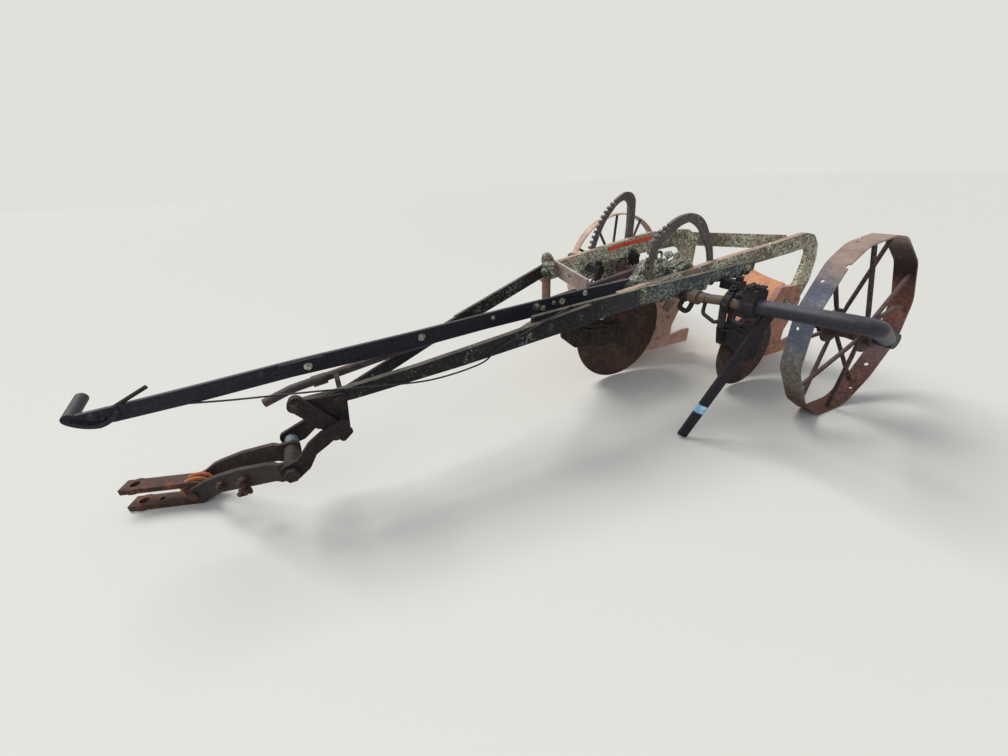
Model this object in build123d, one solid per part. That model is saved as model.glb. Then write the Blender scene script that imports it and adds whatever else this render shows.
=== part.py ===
from build123d import *
import math
import os

# A two-bottom trailed moldboard plough: +X forward, +Y to its left, +Z up, millimetres.
# Pieces are placed from the ground point under the land wheel, then all move together
# so that the origin is at the centre of the plough's footprint, on the ground.

# main spacings: each stretches the plough along one direction
BAR_REACH = 1880.0
HEAD_X = BAR_REACH - 128
BOLT_X = BAR_REACH - 18
BOTTOM_STEP = 380.0
WHEEL_TRACK = 1276.0
FURROW_LEAD = 50.0
REAR_BEAM_Y = -370.0
BEAM_SPACING = 330.0

# wheels
WHEEL_R = 330.0
LAND_RIM_WIDTH = 70.0
FURROW_RIM_WIDTH = 50.0
RIM_PLATE = 6.0
SPOKE_R = 7.5
SPOKES = 12
HUB_R = 34.0
FLANGE_R = 66.0
FLANGE_Y = 60.0
FLANGE_THICK = 12.0
HUB_HALF = 90.0
SPINDLE_R = 17.0
RUN_FIT = 0.08
END_PLAY = 1.0

# beams and bars
BEAM_THICK = 25.0
SIDE_BAR_THICK = 16.0
HITCH_BAR_THICK = 20.0
BRACE_THICK = 12.0
QUADRANT_THICK = 14.0
CASTING_THICK = 28.0
TOUCH = 0.4

# crank axles
TUBE_R = 23.5
AXLE_THIN_R = 16.5
ARM_COLLAR = 2.0
AXLE_X = 500.0
AXLE_Z = 482.0
AXLE_RISE = 33.0
ELBOW_Y = 266.0
FURROW_AXLE_Z = 505.0

# hand levers
LEVER_THICK = 12.0
LEVER_TIP_X = 2345.0
GRIP_R = 14.0
GRIP_LENGTH = 115.0
FURROW_LEVER_R = 13.0

# coulters
FRONT_DISC_R = 229.0
REAR_DISC_R = 165.0
DISC_THICK = 5.0
DISC_CLEAR = 5.0
DISC_HUB_R = 42.0
DISC_HUB_LENGTH = 40.0
DISC_PIN_R = 12.0
REAR_COULTER = Vector(120, -300, REAR_DISC_R + DISC_CLEAR)
FRONT_COULTER = Vector(530, -645, FRONT_DISC_R + DISC_CLEAR)

# hitch
FORK_PIN = Vector(BAR_REACH + 37, 0, 212)
FORK_LEFT_Y = -288.0
FORK_RIGHT_Y = -470.0
FORK_THICK = 12.0
STRAP_THICK = 11.0
STRAP_LEFT_Y = -305.5
STRAP_RIGHT_Y = -405.0
HEADING = -18.0
EYE_R = 24.0
JAW_THICK = 18.0
JAW_WIDTH = 50.0
CLEVIS_LENGTH = 210.0
PIN_HOLE_R = 13.5
EYE = Vector(BAR_REACH + 345, -600, EYE_R + JAW_THICK + 1)

os.makedirs("parts", exist_ok=True)
parts = {}


def box_bar(a, b, depth, thick, across):
    """Straight bar from a to b; thick is measured along across, depth square to both."""
    a, b = Vector(*a), Vector(*b)
    run = b - a
    plane = Plane(origin=a, x_dir=Vector(*across), z_dir=run)
    return extrude(plane * Rectangle(thick, depth), run.length)


def round_bar(a, b, radius):
    a, b = Vector(*a), Vector(*b)
    run = b - a
    return Plane(origin=a, z_dir=run) * extrude(Circle(radius), run.length)


def bent_round_bar(points, radius, bend):
    """Round bar swept along a bent path of straight runs joined by arcs."""
    path = FilletPolyline(*points, radius=bend)
    start = Plane(origin=path @ 0, z_dir=path % 0)
    return sweep(start * Circle(radius), path=path)


def rounded(rows):
    """Closed face of (x, z) corners; a third value in a row rounds that corner."""
    face = make_face(Polyline(*[(row[0], row[1]) for row in rows], close=True))
    for row in rows:
        if len(row) > 2:
            corner = face.vertices().sort_by_distance((row[0], row[1], 0))[0]
            face = fillet(corner, row[2])
    return face


def stand(face, y, thick):
    """Plate from a face of (x, z), centred on the plane at y."""
    return Pos(0, y, 0) * extrude(Plane.XZ * face, thick / 2, both=True)


def side_plate(rows, y, thick):
    return stand(rounded(rows), y, thick)


def arcs(points):
    """Arcs through each point, the next and the one after, from the first to the last."""
    return [ThreePointArc(*points[n:n + 3]) for n in range(0, len(points) - 2, 2)]


def shifted(rows, step):
    return [(row[0] + step, *row[1:]) for row in rows]


# hubs turn on their spindles between the crank arm and an end nut
def hub_shape():
    """Cast hub: a waisted barrel with two flanges that carry the spokes."""
    half = FLANGE_THICK / 2
    profile = [
        (0, -HUB_HALF), (HUB_R + 6, -HUB_HALF), (HUB_R + 6, -HUB_HALF + 10),
        (HUB_R, -FLANGE_Y - half), (FLANGE_R, -FLANGE_Y - half + 3),
        (FLANGE_R, -FLANGE_Y + half), (HUB_R + 3, -FLANGE_Y + half),
        (HUB_R - 2, 0), (HUB_R + 3, FLANGE_Y - half), (FLANGE_R, FLANGE_Y - half),
        (FLANGE_R, FLANGE_Y + half - 3), (HUB_R, FLANGE_Y + half),
        (HUB_R + 6, HUB_HALF - 10), (HUB_R + 6, HUB_HALF), (0, HUB_HALF)]
    body = revolve(make_face(Plane.XZ * Polyline(*profile, close=True)), Axis.Z)
    return body - Cylinder(SPINDLE_R + RUN_FIT, 2 * HUB_HALF + 2)


def on_circle(angle, radius, z=0.0):
    turn = math.radians(angle)
    return Vector(radius * math.cos(turn), radius * math.sin(turn), z)


def spoke(rim_angle, hub_angle, end, reach, foot_r, bow):
    """Round spoke from a flange at one end of the hub to the rim; bow bends it midway."""
    foot = on_circle(hub_angle, foot_r, end * FLANGE_Y)
    head = on_circle(rim_angle, reach, end * 8)
    if bow:
        middle = (foot + head) / 2 + on_circle(rim_angle + 90, bow)
        return bent_round_bar([foot, middle, head], SPOKE_R, 60)
    return round_bar(foot, head, SPOKE_R)


# seen from its hub's outer end the land rim is out of round: corners by angle and radius
LAND_RIM_CORNERS = [
    (-105, 1.035), (-75, 1.035), (-50, 0.976), (-15, 0.988), (20, 1.018), (50, 1.061),
    (66, 1.061), (90, 1.024), (104, 1.018), (135, 0.964), (168, 0.982), (196, 1.0),
    (228, 0.958)]
CORNER_ROUNDING = 110.0
# holes through the land rim: angle, place across the rim from its middle, radius
RIM_HOLES = [
    (70, 16, 6), (40, 12, 6), (130, 12, 6), (11, 12, 6), (-140, 0, 7), (50, -34, 9),
    (78, 34, 8), (96, 36, 11), (-118, -12, 6)]
# surviving land spokes: angle at the rim, angle at the hub, end of the hub, bow
LAND_SPOKES = [
    (50, 87, 1, 0), (105, 141, 1, 0), (-2, -20, 1, 14), (-61.5, -101, 1, 0),
    (-124, -139, 1, 0), (78, 52, -1, 0), (147, 82, -1, 0), (175.5, 110, -1, -18),
    (-35, -5, -1, 0), (-93, -31, -1, 0)]

corners = [on_circle(a, r * WHEEL_R) for a, r in LAND_RIM_CORNERS]
land_outline = make_face(Polyline(*corners, close=True))
land_outline = fillet(land_outline.vertices(), CORNER_ROUNDING)
land_rim = extrude(
    land_outline - offset(land_outline, -RIM_PLATE), LAND_RIM_WIDTH / 2, both=True)
for angle, z, radius in RIM_HOLES:
    land_rim -= round_bar(on_circle(angle, 250, z), on_circle(angle, 400, z), radius)
furrow_rim = Cylinder(WHEEL_R, FURROW_RIM_WIDTH)
furrow_rim -= Cylinder(WHEEL_R - RIM_PLATE, FURROW_RIM_WIDTH)

furrow_spokes = []
for n in range(SPOKES):
    end = 1 if n % 2 else -1
    angle = 360.0 * n / SPOKES
    furrow_spokes.append((angle, angle + 22 * end, end, 0))

LAND_WHEEL = Vector(0, 0, WHEEL_R)
FURROW_WHEEL = Vector(FURROW_LEAD, -WHEEL_TRACK, WHEEL_R)
for name, centre, rim, inside, table in (
    ("land", LAND_WHEEL, land_rim, extrude(land_outline, 60, both=True), LAND_SPOKES),
    ("furrow", FURROW_WHEEL, furrow_rim, Cylinder(WHEEL_R, 120), furrow_spokes)):
    # the wheel's own axis runs to the right
    place = Pos(*centre) * Rot(90, 0, 0)
    hub = hub_shape()
    parts[name + "_rim"] = place * rim
    parts[name + "_hub"] = place * hub
    bars = []
    for rim_angle, hub_angle, end, bow in table:
        bar = spoke(rim_angle, hub_angle, end, WHEEL_R + 20, FLANGE_R - 6, bow)
        bar = (bar & inside) - rim - hub
        bars.append(place * bar.solids().sort_by(SortBy.VOLUME)[-1])
    parts[name + "_spokes"] = Compound(bars)

# goosenecked beams
REAR_BEAM = [
    (790, 508), (332, 562), (-32, 597), (-206, 618, 60), (-268, 605, 40),
    (-312, 560, 60), (-330, 500, 80), (-327, 400, 80), (-290, 320), (-215, 235, 20),
    (-150, 245, 12), (-196, 340, 60), (-244, 400, 60), (-262, 480, 60), (-262, 535, 24),
    (-235, 553, 24), (-112, 541), (115, 523), (790, 446)]
FRONT_BEAM = [
    (910, 560), (585, 608), (360, 638), (216, 637), (128, 632, 40), (84, 608, 30),
    (63, 547, 60), (66, 470, 60), (70, 400, 60), (105, 310), (165, 235, 20),
    (230, 245, 12), (180, 340, 60), (136, 400, 60), (112, 460, 60), (134, 500, 40),
    (160, 548, 20), (200, 564, 30), (360, 556), (483, 548), (637, 539), (910, 496)]
FRONT_BEAM_Y = REAR_BEAM_Y - BEAM_SPACING
FRONT_SHIFT = BOTTOM_STEP - 380
parts["rear_beam"] = side_plate(REAR_BEAM, REAR_BEAM_Y, BEAM_THICK)
parts["front_beam"] = side_plate(shifted(FRONT_BEAM, FRONT_SHIFT), FRONT_BEAM_Y, BEAM_THICK)

# side bar and hitch bar, lapped and bolted along the left of the rear beam
LEFT_FACE = REAR_BEAM_Y + BEAM_THICK / 2 + TOUCH
BAR_Y = LEFT_FACE + SIDE_BAR_THICK / 2
BAR_LEFT = LEFT_FACE + SIDE_BAR_THICK
HITCH_Y = BAR_LEFT + HITCH_BAR_THICK / 2 + TOUCH
HITCH_LEFT = HITCH_Y + HITCH_BAR_THICK / 2
parts["side_bar"] = side_plate(
    [(118, 543, 10), (118, 503, 10), (470, 475), (890, 435), (1150, 416, 6),
     (1150, 490, 6), (890, 506), (600, 521)], BAR_Y, SIDE_BAR_THICK)
parts["hitch_bar"] = side_plate(
    [(935, 501, 8), (925, 437, 8), (1086, 421), (1400, 389), (1713, 366),
     (BAR_REACH - 4, 362, 14), (BAR_REACH, 396, 14), (HEAD_X + 24, 399), (1535, 421),
     (1256, 456), (1074, 482)], HITCH_Y, HITCH_BAR_THICK)
# splice strap on the side bar's face, below the foot of the near lever
parts["side_bar"] += side_plate(
    [(684, 461, 4), (684, 523, 4), (734, 519, 4), (734, 457, 4)], BAR_LEFT + 4, 8)

# flats between the beams
BRACE_X = (862.0, 905.0)
brace = box_bar(
    (140, FRONT_BEAM_Y + 13, 592), (-110, REAR_BEAM_Y - 13, 586), 58, BRACE_THICK,
    (1, 0.9, 0))
parts["beam_brace"] = brace - parts["front_beam"] - parts["rear_beam"]
# the cross brace drops to a tab that passes under the land lever to the side bar
beam_face = FRONT_BEAM_Y + BEAM_THICK / 2
drop_y = REAR_BEAM_Y - 84
cross_face = make_face(Polyline(
    (beam_face, 582), (drop_y, 547), (drop_y, 460), (LEFT_FACE, 448), (LEFT_FACE, 424),
    (drop_y - 34, 436), (drop_y - 34, 494), (beam_face, 528), close=True))
cross = Pos(BRACE_X[0], 0, 0) * extrude(Plane.YZ * cross_face, BRACE_THICK / 2, both=True)
cross -= round_bar((BRACE_X[0] - 20, -560, 538), (BRACE_X[0] + 20, -560, 538), 9)
parts["cross_brace"] = cross - parts["front_beam"]
post_y = FRONT_BEAM_Y + BEAM_THICK / 2 + 19
post = round_bar((BRACE_X[1], post_y, 364), (BRACE_X[1], post_y, 585), 17.5)
post += Pos(BRACE_X[1], post_y, 588) * Sphere(20)
post += Pos(BRACE_X[1], post_y, 366) * Cylinder(24, 16)
parts["corner_post"] = post + Pos(BRACE_X[1] - 2, post_y - 14, 528) * Box(34, 8, 52)
diagonal_path = [(880, FRONT_BEAM_Y + 23, 560), (BAR_REACH - 550, -560, 445),
                 (HEAD_X - 5, -452, 322)]
diagonal = box_bar(*diagonal_path[:2], 44, 16, (0.25, 1, 0))
diagonal += box_bar(*diagonal_path[1:], 36, 16, (0.25, 1, 0))
diagonal += Pos(*diagonal_path[1]) * Rot(90, 0, 14) * Cylinder(18, 15.5)
diagonal = diagonal - parts["corner_post"] - parts["front_beam"]
parts["hitch_diagonal"] = diagonal.solids().sort_by(SortBy.VOLUME)[-1]
lower = box_bar(
    (760, FRONT_BEAM_Y + 5, 399), (1270, HITCH_Y + 4, 415), 60, 12, (0, 0, 1))
for x in (880, 1150):
    lower -= Pos(x, FRONT_BEAM_Y + 5 + (x - 760) * 0.62, 398) * Cylinder(8, 40)
lower = lower - parts["corner_post"] - parts["hitch_bar"]
parts["lower_flat"] = lower.solids().sort_by(SortBy.VOLUME)[-1]

# toothed quadrants: a bent band between two rows of arcs, square gaps cut between its teeth
NEAR_QUADRANT_Y = REAR_BEAM_Y - BEAM_THICK / 2 - QUADRANT_THICK / 2
FAR_QUADRANT_Y = FRONT_BEAM_Y - BEAM_THICK / 2 - QUADRANT_THICK / 2
NEAR_OUTER = [
    (652, 540), (654, 606), (642, 664), (612, 694), (573, 715), (520, 738), (468, 744),
    (428, 732), (394, 708), (362, 664), (336, 620), (318, 566), (306, 510)]
NEAR_INNER = [
    (326, 510), (338, 562), (357, 610), (384, 645), (412, 680), (440, 701), (468, 713),
    (508, 708), (537, 693), (575, 668), (610, 638), (621, 600), (622, 540)]
FAR_OUTER = [
    (672, 545), (664, 605), (645, 652), (616, 709), (582, 753), (542, 784), (500, 806),
    (462, 802), (439, 770), (436, 690), (446, 560)]
FAR_INNER = [
    (478, 560), (470, 690), (473, 745), (482, 769), (505, 776), (532, 764), (557, 740),
    (586, 706), (610, 662), (632, 610), (642, 545)]
TOOTH_DEPTH = 12.0
TOOTH_GAP = 11.0
TOOTH_PITCH = 22.0
# rows: outer edge, inner edge, plane, first gap along the edge, number of gaps
QUADRANTS = [
    ("near_quadrant", NEAR_OUTER, NEAR_INNER, NEAR_QUADRANT_Y, 30, 9),
    ("far_quadrant", FAR_OUTER, FAR_INNER, FAR_QUADRANT_Y, 26, 12)]
for name, outer, inner, y, first, gaps in QUADRANTS:
    edge = arcs(outer)
    rim = edge + [Line(outer[-1], inner[0])] + arcs(inner) + [Line(inner[-1], outer[0])]
    face = make_face(rim)
    leading = Wire(edge[:3])
    for n in range(gaps):
        t = (first + n * TOOTH_PITCH) / leading.length
        spot, along = leading @ t, leading % t
        turn = math.degrees(math.atan2(along.Y, along.X))
        face -= Pos(spot.X, spot.Y) * Rot(0, 0, turn) * Rectangle(TOOTH_GAP, 2 * TOOTH_DEPTH)
    parts[name] = stand(face, y, QUADRANT_THICK)

# lever base castings: a web with a bored boss round the axle bar and a rim along its top
near_casting_y = NEAR_QUADRANT_Y - QUADRANT_THICK / 2 - CASTING_THICK / 2
near_casting = side_plate(
    [(688, 446, 12), (702, 520, 16), (668, 572, 14), (642, 604, 14), (612, 570, 10),
     (596, 592, 10), (560, 592, 10), (540, 560, 12), (430, 548, 20), (396, 508, 14),
     (300, 500, 10), (306, 440, 10), (430, 432), (560, 426, 20)],
    near_casting_y, CASTING_THICK)
near_casting -= side_plate(
    [(452, 524, 8), (360, 530, 8), (330, 500, 8), (345, 462, 8), (440, 456, 8)],
    near_casting_y - CASTING_THICK / 2, CASTING_THICK)
near_casting += stand(Pos(600, 492) * Circle(44), near_casting_y - 4, CASTING_THICK + 8)
dome_face = near_casting_y + CASTING_THICK / 2
dome = Pos(468, dome_face - 26, 538) * Sphere(43)
near_casting += dome & Pos(468, dome_face - 50, 538) * Box(100, 100, 100)
near_casting += Pos(578, near_casting_y, 603) * Rot(90, 0, 0) * Torus(15, 5)
far_casting_y = FAR_QUADRANT_Y - QUADRANT_THICK / 2 - CASTING_THICK / 2
far_casting = side_plate(
    [(690, 476, 10), (706, 530, 16), (640, 576, 20), (520, 590, 30), (440, 586, 14),
     (428, 500, 20), (500, 456, 30), (600, 460, 20)], far_casting_y, CASTING_THICK)
far_casting += stand(Pos(AXLE_X, FURROW_AXLE_Z) * Circle(46), far_casting_y, CASTING_THICK + 10)

# land lever: tapered flat bar with a splice plate, a latch strap and a crossways grip
lever_y = near_casting_y - CASTING_THICK / 2 - LEVER_THICK / 2
land_lever = side_plate(
    [(585, 534, 20), (585, 480, 20), (868, 468), (1279, 449), (1512, 433), (1860, 423),
     (2077, 409),
     (LEVER_TIP_X - 90, 403), (LEVER_TIP_X - 20, 408, 14), (LEVER_TIP_X, 420, 8),
     (LEVER_TIP_X, 438, 8), (LEVER_TIP_X - 90, 442), (2062, 454), (1856, 468),
     (1504, 485), (1275, 500), (872, 523), (620, 533)], lever_y, LEVER_THICK)
land_lever += side_plate(
    [(1768, 470, 6), (1768, 436, 6), (1888, 430, 6), (1888, 464, 6)],
    lever_y + LEVER_THICK / 2 + 3, 6)
land_lever += round_bar(
    (LEVER_TIP_X - 12, lever_y + 8, 432), (LEVER_TIP_X - 2, lever_y + 8 - GRIP_LENGTH, 438),
    GRIP_R)
LATCH_X = LEVER_TIP_X - 60
strap_top = [(LATCH_X - 40, 434), (LATCH_X - 22, 416), (LATCH_X, 408), (LATCH_X + 24, 414),
             (LATCH_X + 48, 430)]
strap_low = [(LATCH_X + 54, 425), (LATCH_X + 27, 406), (LATCH_X, 399), (LATCH_X - 26, 408),
             (LATCH_X - 46, 430)]
land_lever += stand(
    make_face(arcs(strap_top) + [Line(strap_top[-1], strap_low[0])] + arcs(strap_low)
              + [Line(strap_low[-1], strap_top[0])]), lever_y + 9, 14)
land_lever += round_bar(
    (LEVER_TIP_X - 90, lever_y, 436), (LEVER_TIP_X - 172, lever_y, 474), 5)
parts["near_casting"] = near_casting

# furrow lever: round bar, thinner behind its coupling
parts["furrow_lever"] = bent_round_bar(
    [(AXLE_X - 2, -598, 510), (1100, -508, 458), (BAR_REACH - 320, -488, 410),
     (BAR_REACH, -487, 361), (BAR_REACH + 78, -486, 336)], FURROW_LEVER_R, 60)
parts["furrow_lever"] += round_bar(
    (BAR_REACH - 60, -487, 368.7), (BAR_REACH - 100, -487, 373.8), FURROW_LEVER_R + 4)

# land crank axle: thin shaft, collars, thick tube, elbow and crank arm in one forging
arm_end_y = HUB_HALF + END_PLAY + TUBE_R + ARM_COLLAR
tube = bent_round_bar(
    [(AXLE_X, -150, AXLE_Z), (AXLE_X, ELBOW_Y, AXLE_Z + AXLE_RISE), (0, arm_end_y, WHEEL_R)],
    TUBE_R, 50)
shaft_drop = 0.12
tube += round_bar(
    (AXLE_X, LEFT_FACE - 0.2, AXLE_Z + (LEFT_FACE + 150) * shaft_drop),
    (AXLE_X, -148, AXLE_Z), AXLE_THIN_R)
for y, radius, width in ((-282, 25, 30), (-246, 19, 24)):
    tube += Pos(AXLE_X, y, AXLE_Z + (y + 150) * shaft_drop) * Rot(90, 0, 0) * Cylinder(
        radius, width)
tube += round_bar(
    (0, arm_end_y + TUBE_R + ARM_COLLAR, WHEEL_R), (0, HUB_HALF + END_PLAY, WHEEL_R), 27)
tube = tube - parts["side_bar"] - parts["rear_beam"]
nut_y = HUB_HALF + END_PLAY + 9
parts["land_axle"] = tube
parts["land_spindle"] = Pos(0, -nut_y, WHEEL_R) * Rot(90, 0, 0) * Cylinder(27, 18)
parts["land_spindle"] += round_bar(
    (0, HUB_HALF + END_PLAY, WHEEL_R), (0, -nut_y - 14, WHEEL_R), SPINDLE_R)

# furrow crank axle, its arm trailing to the furrow wheel's inner side
inner_end_y = -WHEEL_TRACK + HUB_HALF + END_PLAY
arm_y = inner_end_y + AXLE_THIN_R + ARM_COLLAR
furrow_axle = bent_round_bar(
    [(AXLE_X, -578, FURROW_AXLE_Z), (AXLE_X, arm_y + 50, FURROW_AXLE_Z - 10),
     (FURROW_LEAD, arm_y, WHEEL_R)], AXLE_THIN_R, 40)
furrow_axle += round_bar(
    (FURROW_LEAD, arm_y + AXLE_THIN_R + ARM_COLLAR, WHEEL_R),
    (FURROW_LEAD, inner_end_y, WHEEL_R), 28)
for y in (-600, -672):
    furrow_axle += Pos(AXLE_X, y, FURROW_AXLE_Z) * Rot(90, 0, 0) * Cylinder(27, 16)
parts["furrow_axle"] = furrow_axle
parts["furrow_spindle"] = (
    Pos(FURROW_LEAD, -WHEEL_TRACK - nut_y, WHEEL_R) * Rot(90, 0, 0) * Cylinder(27, 18)
    + round_bar((FURROW_LEAD, inner_end_y, WHEEL_R),
                (FURROW_LEAD, -WHEEL_TRACK - nut_y - 14, WHEEL_R), SPINDLE_R))
furrow_lever = parts["furrow_lever"] - furrow_axle
parts["furrow_lever"] = furrow_lever.solids().sort_by(SortBy.VOLUME)[-1]
parts["far_casting"] = far_casting - furrow_axle - parts["furrow_lever"]
parts["land_lever"] = land_lever - parts["near_casting"]

# cast saddle round the land axle, two humps on top, a strap, hook and loop below
clamp = Pos(AXLE_X, -142, AXLE_Z) * Rot(90, 0, 0) * Cylinder(34, 26)
clamp += Pos(AXLE_X, -64, AXLE_Z + 5) * Rot(90, 0, 0) * Cylinder(34, 40)
for y, half, low, top, reach in (
    (-140, 13, 492, 520, 20), (-66, 22, 492, 546, 30), (-100, 30, 494, 512, 16)):
    clamp += side_plate(
        [(AXLE_X - reach, low), (AXLE_X - reach, top - 6, 8), (AXLE_X + reach, top, 8),
         (AXLE_X + reach, low)], y, 2 * half)
clamp += Pos(AXLE_X, -102, AXLE_Z - 26) * Box(36, 70, 18)
clamp += box_bar(
    (AXLE_X + 26, -148, AXLE_Z + 4), (AXLE_X + 36, -134, 402), 24, 9, (1, 0, 0))
LOOP_R = 6.5
HOOK_R = 7.0
clamp += bent_round_bar(
    [(AXLE_X + 8, -232, AXLE_Z - 12), (AXLE_X + 22, -226, 424), (AXLE_X + 34, -164, 410),
     (AXLE_X + 34, -138, 424)], LOOP_R, 18)
clamp += bent_round_bar(
    [(AXLE_X + 10, -112, AXLE_Z - 26), (AXLE_X + 24, -106, 430), (AXLE_X + 20, -72, 424),
     (AXLE_X + 12, -66, 446)], HOOK_R, 10)
# U-bolt that ties the thin shaft up to the side bar, with its round nut
tie = Pos(AXLE_X + 4, BAR_LEFT + 12, 460) * Sphere(22)
tie += bent_round_bar(
    [(AXLE_X + 10, BAR_LEFT + 14, 452), (AXLE_X + 26, BAR_LEFT + 12, 420),
     (AXLE_X + 24, BAR_LEFT + 50, 410), (AXLE_X + 10, BAR_LEFT + 56, 446)], 9, 14)
clamp = Compound(children=[clamp, tie])
parts["axle_clamp"] = clamp - parts["land_axle"] - parts["side_bar"] - parts["hitch_bar"]

# prop bar under the axle
prop = box_bar((470, -14, 490), (653, -115, 8), 32, 14, (0.6, 1, 0))
prop = prop & Pos(550, -60, 505) * Box(500, 400, 1000)
parts["prop_bar"] = prop - parts["land_axle"] - parts["axle_clamp"]

# coulters: flat disc on a pin, a cast yoke on its left, a round shank and a clamp
# yoke outlines are written from the disc's centre
REAR_YOKE = [
    (-46, -14, 14), (-66, 60, 14), (-34, 112, 16), (50, 132, 20), (111, 146, 20),
    (180, 168, 14), (242, 162, 12), (224, 84, 16), (146, 52, 20), (84, 8, 20), (24, -40, 24),
    (-26, -40, 20)]
FRONT_YOKE = [
    (-40, -26, 20), (-40, 26, 20), (20, 46, 20), (112, 40, 14), (210, 66, 16), (333, 84, 14),
    (330, 34, 14), (262, -24, 20), (190, -34, 16), (104, -54, 20), (30, -40, 20)]
# rows: name, hub, disc radius, yoke, place of the shank, clamp face, clamp size, shank top
COULTERS = [
    ("rear", REAR_COULTER, REAR_DISC_R, REAR_YOKE, (170, 156), BAR_LEFT, 34, 514),
    ("front", FRONT_COULTER, FRONT_DISC_R, FRONT_YOKE, (158, 60), beam_face, 30, 566)]
for name, hub, radius, outline, (run, rise), face, block, shank_top in COULTERS:
    disc = Cylinder(radius, DISC_THICK) + Cylinder(DISC_HUB_R, DISC_HUB_LENGTH)
    disc -= Cylinder(DISC_PIN_R + RUN_FIT, DISC_HUB_LENGTH + 2)
    parts[name + "_disc"] = Pos(*hub) * Rot(90, 0, 0) * disc
    side = DISC_HUB_LENGTH / 2 + 6
    pin = round_bar(hub + Vector(0, side + 16, 0), hub - Vector(0, side + 4, 0), DISC_PIN_R)
    pin += round_bar(hub - Vector(0, side - 5.6, 0), hub - Vector(0, side + 4, 0), 20)
    parts[name + "_disc_pin"] = pin
    top = hub + Vector(run, 0, rise)
    yoke = side_plate([(hub.X + x, hub.Z + z, r) for x, z, r in outline], hub.Y + side + 0.6, 11)
    yoke += stand(Pos(hub.X, hub.Z) * Circle(40), hub.Y + side + 8, 8)
    yoke -= stand(Pos(hub.X, hub.Z) * Circle(30), hub.Y + side + 12.6, 4)
    yoke += Pos(top.X, hub.Y + side + 1, top.Z - 30) * Box(60, 34, 70)
    for shift, drop, bow_y in ((0, 0, 12), (10, 16, 19)):
        bow = [(top.X - 80 + shift, top.Z - 26 - drop), (top.X - 50, top.Z - 8 - drop),
               (top.X - 16, top.Z + 2 - drop), (top.X + 30, top.Z + 4 - drop),
               (top.X + 66 + shift, top.Z + 18 - drop)]
        under = [(p[0], p[1] - 8) for p in bow[::-1]]
        yoke += stand(
            make_face(arcs(bow) + [Line(bow[-1], under[0])] + arcs(under)
                      + [Line(under[-1], bow[0])]), hub.Y + side + bow_y, 14)
    parts[name + "_yoke"] = yoke - pin
    shank = round_bar(
        (top.X, hub.Y + side, top.Z + 4), (top.X, hub.Y + side, shank_top), 14)
    parts[name + "_yoke"] -= shank
    parts[name + "_shank"] = shank
    reach = hub.Y + side + 20 - face
    clamp = Pos(top.X, face + reach / 2, shank_top - 36) * Box(block, reach, block + 6)
    clamp = fillet(clamp.edges().filter_by(Axis.Y), 8) - shank
    parts[name + "_shank_clamp"] = clamp

# plough bottoms; outlines are written for the rear one
LANDSIDE = [
    (-352, 62, 8), (-356, 134, 12), (-300, 132, 12), (-215, 114, 30), (-30, 110, 12),
    (30, 62, 8)]
FROG = [
    (-94, 330, 10), (-140, 392, 12), (-262, 384, 14), (-300, 300, 20), (-236, 168, 14),
    (-236, 66, 8), (20, 66, 8), (-60, 142, 30), (-138, 160, 12)]
FROG_WINDOW = [(-176, 330, 8), (-214, 336, 8), (-240, 290, 8), (-196, 240, 8), (-150, 270, 8)]
# moldboard rows: height, then forward and sideways places of shin, middle and wing
MOLDBOARD = [
    (46, 118, 0, -58, -168, -248, -318), (130, 22, 0, -112, -178, -285, -345),
    (230, -62, 0, -165, -188, -335, -368), (325, -135, -4, -222, -195, -388, -380),
    (398, -185, -14, -272, -200, -440, -385)]
MOLDBOARD_THICK = 8.0
for name, beam_y, step in (
    ("rear", REAR_BEAM_Y, 0), ("front", FRONT_BEAM_Y, BOTTOM_STEP)):
    left = beam_y + BEAM_THICK / 2 + TOUCH + 10
    landside = side_plate(shifted(LANDSIDE, step), left - 5, 10)
    for x in (-300, -180, -80):
        landside -= stand(Pos(x + step, 92) * Circle(6), left, 8)
    parts[name + "_landside"] = landside
    rows = []
    for z, *places in MOLDBOARD:
        points = [
            Vector(places[n] + step, left - 16 + places[n + 1], z + (0, 3, 6)[n // 2])
            for n in (0, 2, 4)]
        rows.append(Spline(*points))
    skin = Face.make_surface_from_array_of_points(
        [[Vector(*(row @ t)) for t in (0, 0.25, 0.5, 0.75, 1)] for row in rows])
    moldboard = thicken(skin, MOLDBOARD_THICK)
    parts[name + "_moldboard"] = moldboard
    frog = side_plate(shifted(FROG, step), beam_y, BEAM_THICK + 2 * TOUCH)
    frog -= side_plate(shifted(FROG_WINDOW, step), beam_y + BEAM_THICK / 2, 14)
    frog = frog - moldboard - parts[name + "_beam"]
    parts[name + "_frog"] = frog.solids().sort_by(SortBy.VOLUME)[-1]

# hitch head: hanging strap, cross bar, fork, pin, bent two-strap drawbar, end clevis
parts["hitch_cross"] = box_bar(
    (HEAD_X, HITCH_Y - HITCH_BAR_THICK / 2, 363), (HEAD_X, -462, 363), 58, 14, (1, 0, 0))
parts["hitch_cross"] -= parts["hitch_diagonal"]
hanger_y = FORK_LEFT_Y - FORK_THICK
hanger = side_plate(
    [(BOLT_X - 4, 427, 18), (BOLT_X + 28, 401, 18), (BOLT_X - 88, 257, 8),
     (BOLT_X - 120, 283, 8)],
    hanger_y, FORK_THICK)
hanger += round_bar((BOLT_X, HITCH_LEFT + TOUCH, 399), (BOLT_X, hanger_y, 399), 18)
hanger += side_plate(
    [(BOLT_X - 4, 400, 10), (BOLT_X + 6, 372, 10), (BOLT_X - 30, 309, 10),
     (BOLT_X - 66, 292, 10), (BOLT_X - 92, 262, 8), (BOLT_X - 110, 262, 8),
     (BOLT_X - 124, 394, 10)], HITCH_LEFT + TOUCH + 4, 8)
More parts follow.
